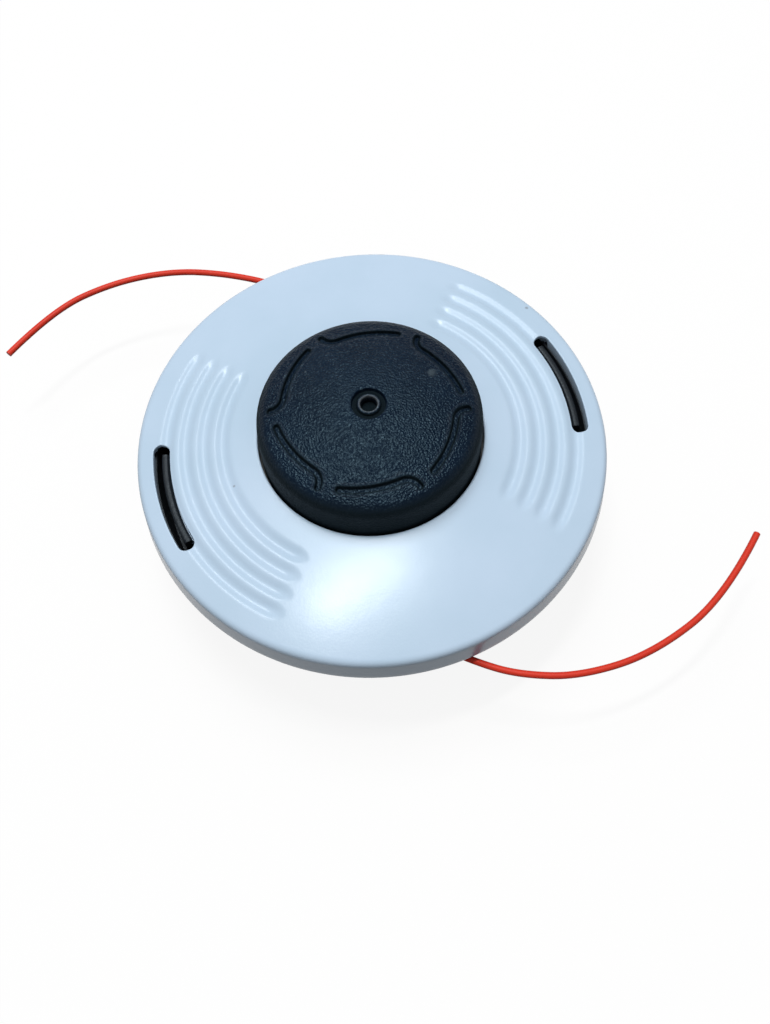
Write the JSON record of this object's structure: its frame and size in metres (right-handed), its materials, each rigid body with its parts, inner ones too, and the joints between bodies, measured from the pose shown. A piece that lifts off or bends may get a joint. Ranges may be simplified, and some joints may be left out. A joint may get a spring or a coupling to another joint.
{
  "type": "bump feed trimmer head",
  "caption": "Round bump-feed string trimmer head: domed cover with ripples and latch slots, sprung bump knob on a line spool, bowl housing with line eyelets and a threaded arbor.",
  "frame": {"origin": "centre of the mounting face of the hub, on the head's axis, which is also the plane the head rests on", "axes": "+Z along the axis towards the bump knob, +X through the middle of one latch slot, +Y through the eyelet of line 2"},
  "size_m": [0.197, 0.1731, 0.0628],
  "materials": {
    "housing_black": "fine moulded grain",
    "cover_white": "semi-gloss, pale bluish white",
    "knob_black": "coarse spark-eroded grain",
    "spool_grey": "plain moulded",
    "line_red": "extruded nylon",
    "steel": "zinc plated",
    "spring_steel": "drawn wire",
    "eyelet_metal": "turned"
  },
  "bodies": {
    "housing": {"upper_housing": "housing_black", "arbor_insert": "steel", "line_eyelet_1": "eyelet_metal", "line_eyelet_2": "eyelet_metal", "lower_cover": "cover_white", "bump_spring": "spring_steel", "line_lead_1": "line_red", "line_lead_2": "line_red", "line_end_1": "line_red", "line_end_2": "line_red"},
    "spring_seat": {"thrust_washer": "steel"},
    "spool": {"line_spool": "spool_grey", "line_pack_upper": "line_red", "line_pack_lower": "line_red", "bump_knob": "knob_black"}
  },
  "joints": [
    {"name": "bump_press", "type": "slide", "parent": "housing", "child": "spring_seat", "axis": [0, 0, 1], "range_m": [-0.005, 0], "stiffness_N_per_m": 1500, "springref_m": 0.012, "deforming": ["bump_spring"]},
    {"name": "spool_index", "type": "hinge", "parent": "spring_seat", "child": "spool", "pos_m": [0, 0, 0], "axis": [0, 0, 1], "range_deg": [-19, 0]}
  ]
}
